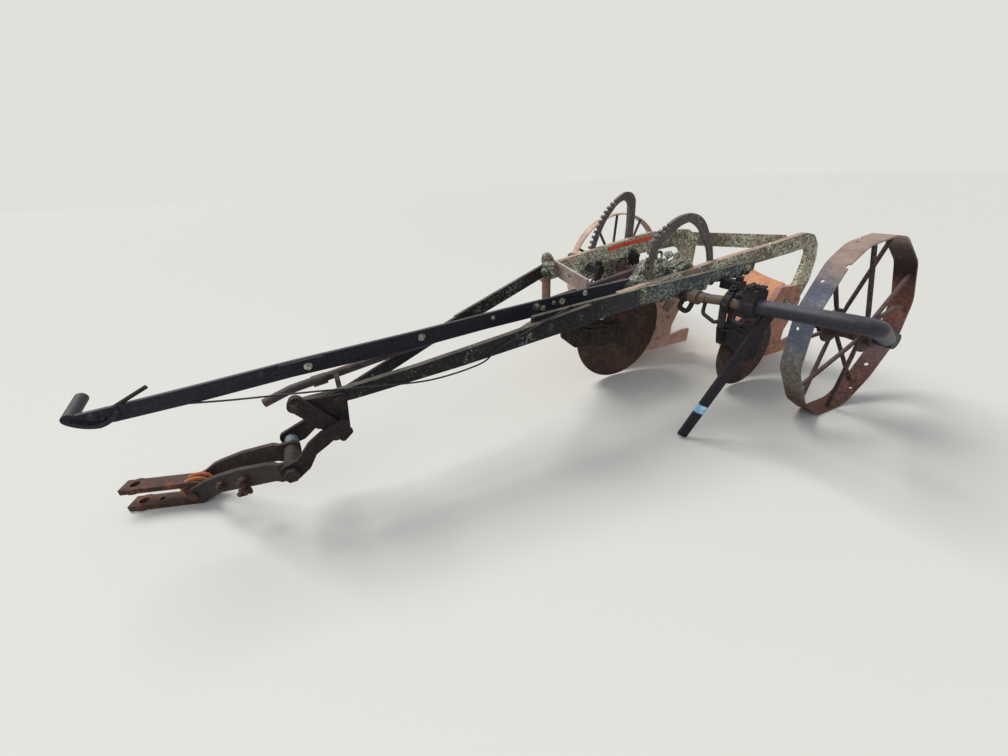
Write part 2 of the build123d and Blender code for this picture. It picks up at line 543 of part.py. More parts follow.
FORK_LEFT = [
    (HEAD_X, 330, 12), (HEAD_X, 296, 12), (HEAD_X + 22, 294, 12), (HEAD_X + 63, 268, 20),
    (HEAD_X + 95, 250, 14), (HEAD_X + 118, 214, 20), (HEAD_X + 152, 190, 14),
    (HEAD_X + 186, 186, 18), (HEAD_X + 192, 236, 18), (HEAD_X + 144, 246, 14),
    (HEAD_X + 107, 288, 20), (HEAD_X + 73, 310, 12), (HEAD_X + 26, 326, 12)]
FORK_RIGHT = [
    (HEAD_X, 330, 12), (HEAD_X, 292, 12), (HEAD_X + 48, 262), (HEAD_X + 128, 200),
    (HEAD_X + 188, 186, 18), (HEAD_X + 198, 230, 18), (HEAD_X + 117, 262, 20)]
fork = side_plate(FORK_LEFT, FORK_LEFT_Y, FORK_THICK)
fork += side_plate(FORK_RIGHT, FORK_RIGHT_Y, FORK_THICK)
fork += Pos(HEAD_X + 12, (FORK_LEFT_Y + FORK_RIGHT_Y) / 2, 312) * Box(
    FORK_THICK, FORK_LEFT_Y - FORK_RIGHT_Y, 34)
fork_pin = round_bar(
    (FORK_PIN.X, FORK_RIGHT_Y - 20, FORK_PIN.Z), (FORK_PIN.X, FORK_LEFT_Y + 18, FORK_PIN.Z), 12)
head = Pos(FORK_PIN.X, FORK_LEFT_Y + 13, FORK_PIN.Z) * Rot(90, 0, 0) * extrude(
    RegularPolygon(20, 6), 7, both=True)
fork_pin += head
# plain sleeve on the pin between the right strap and the fork's right arm
sleeve_y = STRAP_RIGHT_Y - STRAP_THICK / 2 - 6
fork_pin += round_bar(
    (FORK_PIN.X, FORK_RIGHT_Y + FORK_THICK / 2 + 1, FORK_PIN.Z),
    (FORK_PIN.X, sleeve_y, FORK_PIN.Z), 17)
parts["hitch_plate"] = hanger - fork
parts["hitch_lug"] = fork - fork_pin
parts["hitch_pin"] = fork_pin

heading = Vector(1, 0, 0).rotate(Axis.Z, HEADING)
across = Vector(0, 1, 0).rotate(Axis.Z, HEADING)
strap_offset = JAW_WIDTH / 2 + 1 + STRAP_THICK / 2
fall = side_plate(
    [(FORK_PIN.X - 26, FORK_PIN.Z + 16, 14), (FORK_PIN.X - 22, FORK_PIN.Z - 24, 14),
     (FORK_PIN.X + 46, FORK_PIN.Z - 32, 20), (FORK_PIN.X + 144, 120, 20),
     (FORK_PIN.X + 224, 72, 20), (EYE.X - 20, EYE.Z - 24, 20),
     (EYE.X + 30, EYE.Z - 24, 16), (EYE.X + 32, EYE.Z + 16, 14), (EYE.X + 6, EYE.Z + 28, 14),
     (EYE.X - 25, EYE.Z + 43, 14), (FORK_PIN.X + 224, 130, 20), (FORK_PIN.X + 144, 183, 20),
     (FORK_PIN.X + 43, FORK_PIN.Z + 25, 20), (FORK_PIN.X - 8, FORK_PIN.Z + 26, 12)],
    (EYE.Y + STRAP_LEFT_Y) / 2, 500)
sleeve_gap = STRAP_LEFT_Y - STRAP_RIGHT_Y - STRAP_THICK
drawbar = Pos(FORK_PIN.X, (STRAP_LEFT_Y + STRAP_RIGHT_Y) / 2, FORK_PIN.Z) * Rot(
    90, 0, 0) * Cylinder(20, sleeve_gap)
for side, start_y in ((1, STRAP_LEFT_Y), (-1, STRAP_RIGHT_Y)):
    base = EYE + across * (side * strap_offset)
    path = [
        Vector(FORK_PIN.X - 28, start_y, 0), Vector(FORK_PIN.X + 28, start_y, 0),
        Vector(*(base - heading * 46)), Vector(*(base + heading * 26))]
    path = [Vector(p.X, p.Y, -60) for p in path]
    blade = None
    for a, b in zip(path, path[1:]):
        piece = box_bar(a, b, 800, STRAP_THICK, (b - a).cross(Vector(0, 0, 1)))
        blade = piece if blade is None else blade + piece
    for bend in path[1:-1]:
        blade += Pos(bend.X, bend.Y, -60) * Cylinder(STRAP_THICK / 2, 800)
    drawbar += blade & fall
drawbar -= round_bar(
    (FORK_PIN.X, -500, FORK_PIN.Z), (FORK_PIN.X, -200, FORK_PIN.Z), 12 + RUN_FIT)
clevis_pin_r = EYE_R - 11
drawbar -= round_bar(EYE - across * 60, EYE + across * 60, clevis_pin_r)
parts["drawbar"] = drawbar
parts["clevis_pin"] = round_bar(EYE - across * 44, EYE + across * 44, clevis_pin_r)

tall = 2 * (EYE_R + JAW_THICK)
nose = JAW_WIDTH / 2 + 4
clevis = Pos(CLEVIS_LENGTH / 2, 0, 0) * Box(CLEVIS_LENGTH, JAW_WIDTH, tall)
clevis += Rot(90, 0, 0) * Cylinder(EYE_R + JAW_THICK, JAW_WIDTH)
clevis += Pos(CLEVIS_LENGTH - 35, 0, 0) * Cylinder(nose, tall)
clevis -= Pos(CLEVIS_LENGTH / 2 + 20, 0, 0) * Box(CLEVIS_LENGTH - 10, 2 * JAW_WIDTH, 2 * EYE_R)
clevis -= Rot(90, 0, 0) * Cylinder(clevis_pin_r + RUN_FIT, JAW_WIDTH)
clevis -= Pos(CLEVIS_LENGTH - 35, 0, 0) * Cylinder(PIN_HOLE_R, 100)
clevis -= Pos(CLEVIS_LENGTH - 90, 0, -tall / 2) * Cylinder(8, 2 * JAW_THICK + 2)
parts["clevis"] = Pos(EYE.X, EYE.Y, EYE.Z) * Rot(0, 0, HEADING) * clevis

whole = Compound(list(parts.values()))
size = whole.bounding_box()
home = Pos(-(size.min.X + size.max.X) / 2, -(size.min.Y + size.max.Y) / 2, -size.min.Z)
for name, shape in parts.items():
    placed = home * shape
    placed.label = name
    export_step(placed, f"parts/{name}.step")
print(home.position, size.size)
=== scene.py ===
import bmesh
import bpy
import numpy as np
from mathutils import Matrix, Vector


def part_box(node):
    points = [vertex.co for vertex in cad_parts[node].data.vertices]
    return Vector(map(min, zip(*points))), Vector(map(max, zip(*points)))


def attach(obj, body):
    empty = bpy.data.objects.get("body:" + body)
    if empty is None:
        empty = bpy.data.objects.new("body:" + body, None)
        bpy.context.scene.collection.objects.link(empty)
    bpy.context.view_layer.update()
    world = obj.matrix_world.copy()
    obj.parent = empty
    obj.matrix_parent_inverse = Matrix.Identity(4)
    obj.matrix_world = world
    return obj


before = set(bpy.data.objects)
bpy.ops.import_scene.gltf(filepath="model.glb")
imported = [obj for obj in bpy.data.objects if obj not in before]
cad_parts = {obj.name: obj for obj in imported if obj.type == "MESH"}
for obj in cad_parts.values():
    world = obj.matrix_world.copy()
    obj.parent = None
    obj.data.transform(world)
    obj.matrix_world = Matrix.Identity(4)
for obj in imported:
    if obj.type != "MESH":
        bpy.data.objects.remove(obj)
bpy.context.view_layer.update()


# Gooseneck beams
# Two heavy flat bars of forged steel, each bent down behind to carry a plough bottom, with a
# flat bolted across between their tops. The paint is gone: the rust is pale, its top faces are
# lightened further with dust and painted highlight, and pale lichen grows over it in small
# sharp specks.


def colour(red, green, blue):
    """Display values 0 to 255 to linear light: ((c + 0.055) / 1.055) to the power 2.4."""
    value = np.array([red, green, blue]) / 255
    return tuple(((value + 0.055) / 1.055) ** 2.4) + (1.0,)


class Wire:
    """One output of a node; +, - and * add the Math node that works them out."""

    def __init__(self, board, socket):
        self.board, self.socket = board, socket

    def __add__(self, other):
        return self.board.math("ADD", self, other)

    def __radd__(self, other):
        return self.board.math("ADD", other, self)

    def __sub__(self, other):
        return self.board.math("SUBTRACT", self, other)

    def __rsub__(self, other):
        return self.board.math("SUBTRACT", other, self)

    def __mul__(self, other):
        return self.board.math("MULTIPLY", self, other)

    def __rmul__(self, other):
        return self.board.math("MULTIPLY", other, self)

    def clamp(self):
        """The value held between 0 and 1."""
        return self.board.math("ADD", self, 0.0, clamp=True)

    def step(self, start, end):
        """Smooth step: 0 below start, 1 above end, and 3 t^2 - 2 t^3 from one to the other."""
        return self.board.node(
            "MapRange", {"interpolation_type": "SMOOTHSTEP"},
            {"From Min": start, "From Max": end, "Value": self}, "Result")

    def beside(self, output):
        """Another output of the same node."""
        return Wire(self.board, self.socket.node.outputs[output])


class Board:
    """The nodes of one material, or of the world round the plough."""

    def __init__(self, owner):
        owner.use_nodes = True
        self.tree = owner.node_tree
        self.tree.nodes.clear()

    def node(self, kind, settings, sockets, output=0):
        """Add a node: its settings first, then the value or the link of each socket."""
        made = self.tree.nodes.new("ShaderNode" + kind)
        for setting, value in settings.items():
            setattr(made, setting, value)
        for socket, value in sockets.items():
            if isinstance(value, Wire):
                self.tree.links.new(value.socket, made.inputs[socket])
            else:
                made.inputs[socket].default_value = value
        return Wire(self, made.outputs[output]) if made.outputs else None

    def math(self, operation, first, second, clamp=False):
        """The Math node of this operation on two values or wires."""
        settings = {"operation": operation, "use_clamp": clamp}
        return self.node("Math", settings, {0: first, 1: second})


class Paint(Board):
    """A material on the bench: where a spot lies, how far it faces up, and the patterns."""

    SHEEN = 0.22  # rust, scale and old paint reflect less than half of what clean paint does

    def __init__(self, name):
        self.material = bpy.data.materials.new(name)
        super().__init__(self.material)
        self.spot = self.node("TexCoord", {}, {}, "Object")
        self.x = self.node("SeparateXYZ", {}, {0: self.spot})
        self.y, self.z = self.x.beside("Y"), self.x.beside("Z")
        self.up = self.node("SeparateXYZ", {}, {0: self.spot.beside("Normal")}, "Z")

    def noise(self, scale, detail, rough, bend=0.0, squeeze=None):
        """Cloudy noise, about `scale` clouds to the metre, squeezed along the axes if asked."""
        spot = self.spot
        if squeeze:
            spot = self.node("Mapping", {}, {"Scale": squeeze, "Vector": spot})
        return self.node("TexNoise", {}, {
            "Scale": scale, "Detail": detail, "Roughness": rough, "Distortion": bend,
            "Vector": spot})

    def cells(self, scale):
        """Distance to the nearest of random points, about `scale` of them to the metre."""
        return self.node(
            "TexVoronoi", {"feature": "F1"}, {"Scale": scale, "Vector": self.spot}, "Distance")

    def edges(self, radius):
        """Worn edges: 1 - (normal rounded over the radius . true normal), stepped to 0..1."""
        rounded = self.node("Bevel", {"samples": 4}, {"Radius": radius})
        true = self.node("NewGeometry", {}, {}, "Normal")
        product = self.node(
            "VectorMath", {"operation": "DOT_PRODUCT"}, {0: rounded, 1: true}, "Value")
        return (1 - product).step(0.02, 0.25)

    def mix(self, amount, first, second):
        """The first colour where amount is 0, the second where it is 1."""
        return self.node("Mix", {"data_type": "RGBA"}, {0: amount, 6: first, 7: second}, 2)

    def finish(self, base, rough, height=None, depth=0.0):
        """Close the material: base colour, roughness, and a bump of this depth in metres."""
        sockets = {
            "Base Color": base, "Roughness": rough, "Metallic": 0.0,
            "Specular IOR Level": self.SHEEN}
        if height is not None:
            sockets["Normal"] = self.node(
                "Bump", {}, {"Distance": depth, "Strength": 1.0, "Height": height})
        shader = self.node("BsdfPrincipled", {}, sockets)
        self.node("OutputMaterial", {}, {"Surface": shader})
        return self.material


class Iron(Paint):
    """Rusted iron, with the four noises that its coats share, from wide patches to grit."""

    def __init__(self, name):
        super().__init__(name)
        self.broad = self.noise(5.0, 4.0, 0.55, 0.4)
        self.patch = self.noise(17.0, 7.0, 0.65, 0.6)
        self.grain = self.noise(95.0, 8.0, 0.7)
        self.grit = self.noise(330.0, 4.0, 0.75)

    def crust(self, amount, speck, ahead):
        """Lichen: large and small round cells where a slow noise lets them grow.

        More of them with a larger amount, sharper with speck above 1, half as many ahead, where
        the painted shade lies."""
        spots = (1 - self.cells(88.0)).step(0.34, 0.62)
        small = (1 - self.cells(210.0)).step(0.36, 0.68)
        ground = self.noise(11.0, 5.0, 0.6) * 0.7 + self.broad * 0.5
        where = ground.step(0.72 - amount * 0.32, 0.92 - amount * 0.25) * (1 - 0.5 * ahead)
        crust = (spots * 0.5 + small * 0.6) * where * (self.grain + 0.35)
        return crust.step(0.2 + 0.05 * speck, 0.6 - 0.1 * speck)


def iron(name, dark, rust, dust, flake=0.5, top_dust_and_highlight=0.5, edge=0.5, gloss=0.62, crown=None,
         lichen=0.0, lichen_colour=(150, 158, 138), speck=1.0,
         orange=None, orange_amount=0.0, front=None, inner=None):
    """Weathered iron, coat on coat: dark skin, rust where it flakes, a dust of pale grain.

    front is the colour of painted shade ahead of the castings: there it darkens the skin, halves
    the lichen and holds back the lightened tops. inner is the tone of the crank tube's inner end,
    orange the fresh rust in streaks. Edges are worn to the dust's tone by edge. Lichen follows;
    last, what faces up is lightened, by its own amount, toward crown or else the dust, as settled
    dust and painted highlight."""
    paint = Iron(name)
    dark, rust, dust = colour(*dark), colour(*rust), colour(*dust)
    rusty = paint.broad * 0.55 + paint.patch * 0.6 + paint.grain * 0.25
    rusty = rusty.step(0.86 - flake * 0.45, 1.02 - flake * 0.3)
    base = paint.mix(rusty, dark, rust)
    base = paint.mix((paint.grain * 0.7 + paint.grit * 0.5).step(0.52, 0.82) * 0.45, base, dust)
    # Painted shade: ahead, from about x = -0.42 m to 0.14 m, the skin darkens toward front, nearly
    # black.
    ahead = 0.0
    if front:
        shade_starts, shade_full = -0.42, 0.14  # metres along x
        ahead = (paint.x + paint.patch * 0.25).step(shade_starts, shade_full)
        front_painted_shade = paint.mix(paint.grain.step(0.42, 0.7) * 0.3, colour(*front), rust)
        base = paint.mix(ahead * 0.92, base, front_painted_shade)
    if orange:
        streak = paint.noise(9.0, 8.0, 0.7, 1.2) * 0.8 + paint.grain * 0.3
        base = paint.mix(streak.step(0.62 - orange_amount * 0.3, 0.8), base, colour(*orange))
    if inner:
        inner_end, blur = 0.45, 0.01  # metres along y
        inboard = (paint.patch * 0.02 - paint.y).step(-inner_end - blur, -inner_end + blur)
        base = paint.mix(inboard * 0.85, base, paint.mix(rusty, colour(*inner), rust))
    base = paint.mix(paint.edges(0.004) * (paint.patch + 0.2).clamp() * edge, base, dust)
    rough = paint.grain * 0.25 + (gloss - 0.05)
    height = paint.grain * 0.55 + paint.grit * 0.3 + rusty * paint.patch * 0.8
    if lichen:
        crust = paint.crust(lichen, speck, ahead)
        tint = paint.mix(paint.patch.step(0.4, 0.62), colour(*lichen_colour), dust)
        base = paint.mix(crust * min(1.0, 0.45 + lichen * 0.5), base, tint)
        rough = rough + crust * 0.2
        height = height + crust * 0.9
    # What faces up is lightened: partly settled dust, partly painted highlight, held back in the
    # painted shade ahead.
    on_top = paint.up.step(0.2, 0.95) * (paint.patch + 0.35).step(0.55, 1.0)
    dust_and_highlight_tone = colour(*crown) if crown else dust
    base = paint.mix(on_top * top_dust_and_highlight * (1 - 0.8 * ahead), base, dust_and_highlight_tone)
    return paint.finish(base, rough.clamp(), height, 0.0016)


def coat(material, *names):
    """Give the CAD nodes of these names their finish."""
    for name in names:
        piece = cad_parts[name]
        for slot in piece.material_slots:
            slot.material = material
        if not piece.material_slots:
            piece.data.materials.append(material)


# Beam tops lightened to crown: dust and painted highlight.
BEAM = iron("beam_iron", (94, 90, 76), (150, 118, 102), (204, 196, 176), top_dust_and_highlight=0.9,
            crown=(190, 156, 140), lichen=0.9, lichen_colour=(222, 226, 196), speck=1.6)
coat(BEAM, "rear_beam", "front_beam", "beam_brace")


# Bolts on the front beam
# Square and hexagon nuts on washers, forged iron, that hold the braces, the casting and the
# coulter's clamp to the front beam. They are rusted fast and crusted over like the castings.

# Places are written as the plough is measured: millimetres from the ground point under the
# land wheel, +X forward, +Y left, +Z up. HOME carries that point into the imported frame.
WHEEL_R = 330.0
low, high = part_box("land_hub")
HOME = np.array([
    (low[0] + high[0]) / 2,
    (low[1] + high[1]) / 2,
    (low[2] + high[2]) / 2 - WHEEL_R / 1000])


def place(points):
    """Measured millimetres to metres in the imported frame: p / 1000 + HOME."""
    return np.asarray(points, float) / 1000 + HOME


def circle(sides):
    """Angles of a ring's corners: n * 2 pi / sides."""
    return np.linspace(0, 2 * np.pi, sides, endpoint=False)


def rings(count, sides):
    """Quads between each ring of corners and the next, the last corner joined to the first."""
    ring, corner = np.meshgrid(np.arange(count - 1), np.arange(sides), indexing="ij")
    after = (corner + 1) % sides
    return np.stack([
        ring * sides + corner, ring * sides + after,
        (ring + 1) * sides + after, (ring + 1) * sides + corner], axis=-1).reshape(-1, 4)


def closed(count, sides):
    """Faces of a stack of rings: quads between them and one face over each end."""
    last = (count - 1) * sides
    return [rings(count, sides), np.arange(sides)[None, ::-1], np.arange(last, last + sides)[None]]


def turned(profile, sides):
    """Surface of revolution about z: (r cos u, r sin u, h) for each (r, h) of the profile."""
    profile = np.asarray(profile, float)
    u = circle(sides)
    ring = np.stack([
        profile[:, :1] * np.cos(u), profile[:, :1] * np.sin(u),
        np.repeat(profile[:, 1:], sides, axis=1)], axis=-1)
    return ring.reshape(-1, 3), closed(len(profile), sides)


def rivet(size, height):
    """Round head: a quarter ellipse (size cos a, height sin a) turned about z."""
    a = np.linspace(0, np.pi / 2 - 0.05, 6)
    profile = np.column_stack([size * np.cos(a), height * np.sin(a)])
    return turned(np.vstack([[size, -1.0], profile]), 16)


def collar(size, height):
    """Flat ring round a pin hole, its bore 0.6 of its radius."""
    return turned([(size, -1), (size, height), (size * 0.6, height), (size * 0.5, 0.6)], 18)


def nut(sides, size, height):
    """Washer, nut and worn stud, turned about z; then the nut's wall is made flat-sided.

    A corner at angle a from the middle of its side moves in by cos(pi / sides) / cos(a)."""
    stud = size * 0.55
    washer_top, nut_foot = 1.6, 1.8
    points, faces = turned([
        (size * 1.25, -1.0), (size * 1.25, washer_top), (size, nut_foot), (size, height * 0.78),
        (size * 0.88, height), (stud, height), (stud, height * 1.35),
        (stud * 0.8, height * 1.5), (stud * 0.04, height * 1.52)], sides * 4)
    angle = np.arctan2(points[:, 1], points[:, 0])
    wedge = np.pi / sides
    flat = np.cos(wedge) / np.cos((angle % (2 * wedge)) - wedge)
    above_washer = points[:, 2] > (washer_top + nut_foot) / 2
    outside_stud = np.linalg.norm(points[:, :2], axis=1) > size * 0.8
    wall = above_washer & outside_stud
    points[wall, :2] *= flat[wall, None]
    return points, faces


def bolt(spot, look, kind, size, height, spin):
    """A bolt end with its foot on the spot: local z carried to look and spun about it."""
    if kind == "round":
        points, faces = rivet(size, height)
    elif kind == "ring":
        points, faces = collar(size, height)
    else:
        points, faces = nut({"square": 4, "hex": 6}[kind], size, height)
    rotation = Vector((0, 0, 1)).rotation_difference(Vector(look)).to_matrix()
    rotation = np.array(rotation @ Matrix.Rotation(spin, 3, "Z"))
    return points @ rotation.T + np.asarray(spot, float), faces


def build(name, pieces, material, body, smooth=False):
    """One mesh of several closed surfaces, each (points, blocks of faces), on its body."""
    corners, faces, start = [], [], 0
    for points, blocks in pieces:
        corners.append(points)
        for block in blocks:
            faces += (block + start).tolist()
        start += len(points)
    mesh = bpy.data.meshes.new(name)
    mesh.from_pydata(place(np.vstack(corners)).tolist(), [], faces)
    mesh.validate()
    shell = bmesh.new()
    shell.from_mesh(mesh)
    bmesh.ops.recalc_face_normals(shell, faces=shell.faces)
    shell.to_mesh(mesh)
    shell.free()
    mesh.materials.append(material)
    if smooth:
        mesh.polygons.foreach_set("use_smooth", [True] * len(mesh.polygons))
    obj = bpy.data.objects.new(name, mesh)
    bpy.context.scene.collection.objects.link(obj)
    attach(obj, body)


def bolts(name, face, look, material, rows):
    """Bolts in rows of (x, z, kind, size, height, spin) that stand on the face y = face."""
    pieces = [bolt((x, face, z), look, *rest) for x, z, *rest in rows]
    build(name, pieces, material, "frame")


LEFT = (0, 1, 0)
FRONT_BEAM_FACE = -687.5
# Tops lightened to crown: dust and painted highlight.
CRUSTED = iron("crusted_casting", (44, 50, 50), (80, 74, 66), (160, 158, 142),
               crown=(188, 186, 164), lichen=1.0, lichen_colour=(208, 212, 190), speck=1.2)
bolts("front_beam_bolts", FRONT_BEAM_FACE, LEFT, CRUSTED, [
    (620, 560, "square", 13, 9, 0.1), (470, 590, "square", 12, 8, 0.3),
    (700, 545, "hex", 12, 8, 0.2), (250, 612, "square", 12, 8, 0.2)])


# Red strip
# Thin flat, 15 mm wide and painted red, riveted along the front beam's face over the coulter.
# Its paint is the last that is left on the plough, dull and chipped.

STRIP = iron("red_strip", (214, 70, 42), (226, 86, 54), (230, 122, 92), top_dust_and_highlight=0.3, edge=0.2)


def unit(vectors):
    """Each vector divided by its length."""
    return vectors / np.linalg.norm(vectors, axis=-1, keepdims=True)


def path(points):
    """Catmull-Rom line through the points, and its direction at each of its steps.

    On the run from b to c, between a and d, with t from 0 to 1 in six steps:
    0.5 (2 b + (c - a) t + (2 a - 5 b + 4 c - d) t^2 + (3 b - a - 3 c + d) t^3)."""
    steps = 6
    p = np.asarray(points, float)
    p = np.vstack([2 * p[0] - p[1], p, 2 * p[-1] - p[-2]])
    t = np.linspace(0, 1, steps, endpoint=False)[None, :, None]
    a, b, c, d = (p[n:len(p) - 3 + n][:, None, :] for n in range(4))
    runs = 0.5 * (2 * b + (c - a) * t + (2 * a - 5 * b + 4 * c - d) * t ** 2
                  + (3 * b - a - 3 * c + d) * t ** 3)
    line = np.vstack([runs.reshape(-1, 3), p[-2]])
    return line, unit(np.gradient(line, axis=0))


def swept(line, first, second, outline):
    """An outline (a, b) carried along a line: centre + a first + b second."""
    a, b = (part[None, :, None] for part in outline)
    return (line[:, None, :] + a * first[:, None, :] + b * second[:, None, :]).reshape(-1, 3)


def flat_bar(points, wide, width, thickness, sides=24):
    """Flat bar with rounded corners: |2 w / width|^7 + |2 t / thickness|^7 = 1, swept."""
    squareness = 7.0
    line, along = path(points)
    wide = np.asarray(wide, float)
    wide = unit(wide - along * (along @ wide)[:, None])
    u = circle(sides)
    reach = np.abs(np.cos(u)) ** squareness + np.abs(np.sin(u)) ** squareness
    reach = reach ** (-1 / squareness)
    outline = (reach * np.cos(u) * (width / 2), reach * np.sin(u) * (thickness / 2))
    return swept(line, wide, np.cross(along, wide), outline), closed(len(line), sides)


STRIP_WIDTH, STRIP_THICKNESS = 15.0, 4.4
STRIP_AT = FRONT_BEAM_FACE + 1.9
STRIP_LINE = [
    (588, STRIP_AT, 591.5), (510, STRIP_AT, 602), (430, STRIP_AT, 610), (353, STRIP_AT, 617)]
build("red_strip", [flat_bar(STRIP_LINE, (0, 0, 1), STRIP_WIDTH, STRIP_THICKNESS)],
      STRIP, "frame")


# Braces and corner post
# Flat steel braces from the beams down to the side bar and across low down, and the upright
# post at the front corner, all bolted. They stand dry and open, so their rust is pale and red.

RED_RUST = iron("dry_red_rust", (126, 112, 108), (170, 144, 134), (206, 190, 180), flake=0.6,
                top_dust_and_highlight=0.7, lichen=0.2, orange=(184, 126, 102), orange_amount=0.05)
POST = iron("post_rust", (92, 68, 62), (140, 100, 88), (176, 152, 136), flake=0.6,
            lichen=0.3, lichen_colour=(176, 176, 150))
coat(RED_RUST, "cross_brace", "lower_flat")
coat(POST, "corner_post")


# Near bars and hitch diagonal
# The flat steel side bar, the hitch bar spliced to its face with two bolts, and the diagonal
# from the post to the hitch. Lichen covers their black-brown skin behind; ahead the lichen
# thins and the skin is darkened to near-black as painted shade. Their tops are lightened with
# dust and painted highlight.

# front: near-black painted shade ahead. crown: the tops' dust and painted highlight.
NEAR = iron("near_iron", (66, 70, 74), (80, 70, 68), (132, 134, 128), flake=0.3, top_dust_and_highlight=1.0,
            crown=(184, 174, 152), lichen=0.8, lichen_colour=(156, 170, 158),
            front=(13, 11, 14))
coat(NEAR, "side_bar", "hitch_bar", "hitch_diagonal")
SIDE_BAR_FACE, SPLICE_FACE, HITCH_BAR_FACE = -341.1, -333.1, -320.7
bolts("side_bar_bolts", SIDE_BAR_FACE, LEFT, CRUSTED, [
    (421, 494, "round", 10, 5, 0), (272, 512, "round", 9, 5, 0), (160, 522, "square", 12, 8, 0.2)])
bolts("splice_bolts", SPLICE_FACE, LEFT, CRUSTED, [
    (709, 502, "square", 13, 9, 0.3), (709, 474, "hex", 11, 8, 0.6)])
bolts("hitch_bar_bolts", HITCH_BAR_FACE, LEFT, NEAR, [
    (1098, 453, "hex", 11, 8, 0.2), (985, 466, "square", 13, 9, 0.4),
    (1500, 404, "round", 9, 4, 0)])


# Castings and quadrants
# Two iron castings bolted to the beams hold the toothed quadrants and the levers' pivots.
# Lichen and scale have grown on them, and on the post's head, to clumps a few centimetres wide.

QUADRANT = iron("quadrant_iron", (76, 68, 68), (102, 86, 82), (150, 142, 136),
                lichen=0.5, lichen_colour=(216, 220, 208), speck=2.0)
coat(CRUSTED, "near_casting", "far_casting")
coat(QUADRANT, "near_quadrant", "far_quadrant")


def lump(spot, radii, seed, knob=0.22):
    """Crusted lump: an ellipsoid whose radii swell by 1 + 2 knob * mean of sin(k . n + phase).

    n is the direction out of its middle; the seven waves k and their phases are drawn."""
    sides, count, pole_gap = 26, 16, 0.03
    wave_count, wave_rate, full_turn = 7, 5.5, 6.28
    dice = np.random.default_rng(seed)
    v = np.linspace(pole_gap, np.pi - pole_gap, count)[:, None]
    u = circle(sides)[None, :]
    outward = np.stack([np.sin(v) * np.cos(u), np.sin(v) * np.sin(u), np.cos(v) + 0 * u], axis=-1)
    waves = dice.normal(size=(3, wave_count)) * wave_rate
    phase = dice.uniform(0, full_turn, wave_count)
    swell = 1 + knob * 2 * np.sin(outward @ waves + phase).mean(axis=-1, keepdims=True)
    points = (outward * swell * np.asarray(radii, float)).reshape(-1, 3)
    return points + np.asarray(spot, float), closed(count, sides)


# Rows: place, radii.
CRUSTS = [
    ((905, -652, 566), (26, 24, 20)), ((893, -648, 538), (20, 20, 18)),
    ((922, -650, 548), (17, 18, 20)), ((888, -664, 578), (14, 13, 12)),
    ((468, -384, 548), (36, 14, 24)), ((430, -386, 536), (22, 12, 18)),
    ((506, -386, 528), (20, 12, 22)), ((540, -400, 604), (14, 16, 13)),
    ((502, -398, 596), (13, 15, 13)), ((560, -396, 572), (20, 14, 20)),
    ((612, -394, 560), (20, 12, 18)), ((640, -396, 520), (18, 9, 22)),
    ((600, -396, 500), (24, 9, 20)), ((540, -396, 500), (26, 8, 18)),
    ((655, -420, 520), (20, 9, 15)), ((622, -420, 508), (18, 10, 20)),
    ((690, -422, 510), (16, 6, 12)), ((640, -420, 486), (16, 8, 12)),
    ((604, -418, 524), (16, 9, 13)), ((596, -419, 488), (12, 8, 14)),
    ((668, -420, 496), (18, 7, 12)), ((574, -400, 524), (14, 9, 15)),
    ((560, -398, 492), (16, 8, 14)), ((632, -398, 548), (20, 12, 16)),
    ((590, -396, 566), (16, 12, 14)), ((656, -398, 566), (14, 10, 14)),
    ((903, -670, 600), (19, 17, 13)), ((916, -664, 590), (11, 13, 13)),
    ((891, -662, 592), (11, 13, 12))]
build("casting_crust", [lump(*row, seed) for seed, row in enumerate(CRUSTS)],
      CRUSTED, "frame", smooth=True)


# Levers
# The long flat lever cranks the land wheel's axle, the long round one behind it the furrow
# wheel's. Both are forged steel, latched in the quadrants, and rubbed blue-black by hands. The
# flat one is darkened ahead as painted shade and lightened on top with dust and painted
# highlight.

# front: near-black painted shade ahead. crown: the top edge's dust and painted highlight.
LEVER = iron("lever_iron", (58, 60, 74), (64, 58, 66), (96, 94, 106), flake=0.3, top_dust_and_highlight=0.8,
             gloss=0.45, crown=(144, 138, 136), lichen=0.2, lichen_colour=(150, 162, 158),
             front=(17, 17, 25))
ROUND_LEVER = iron("round_lever_iron", (54, 46, 54), (80, 62, 62), (116, 104, 104), top_dust_and_highlight=0.7,
                   lichen=0.1)
LEVER_FACE = -424.5
coat(LEVER, "land_lever")
coat(ROUND_LEVER, "furrow_lever")
bolts("lever_bolts", LEVER_FACE, LEFT, CRUSTED, [
    (1090, 492, "hex", 11, 8, 0.3), (1064, 483, "hex", 8, 6, 0.9), (1021, 495, "round", 8, 5, 0),
    (988, 495, "hex", 9, 6, 0.4), (1251, 482, "round", 8, 5, 0), (1492, 465, "hex", 9, 7, 0.2),
    (1816, 447, "hex", 12, 9, 0.5), (892, 509, "round", 10, 6, 0), (700, 505, "hex", 14, 9, 0.2)])
bolts("handle_bolts", LEVER_FACE, LEFT, LEVER, [
    (1571, 461, "ring", 10, 4, 0), (1896, 439, "ring", 12, 4, 0), (1929, 448, "hex", 9, 5, 0.1),
    (2290, 428, "hex", 9, 6, 0.2), (2276, 416, "round", 7, 5, 0)])


# Latch rod
# Round steel rod, 5 mm thick, from the latch at the flat lever's handle back to the pawl. It is
# bent by hand, lies along the hitch bar's lower edge and climbs across its face.


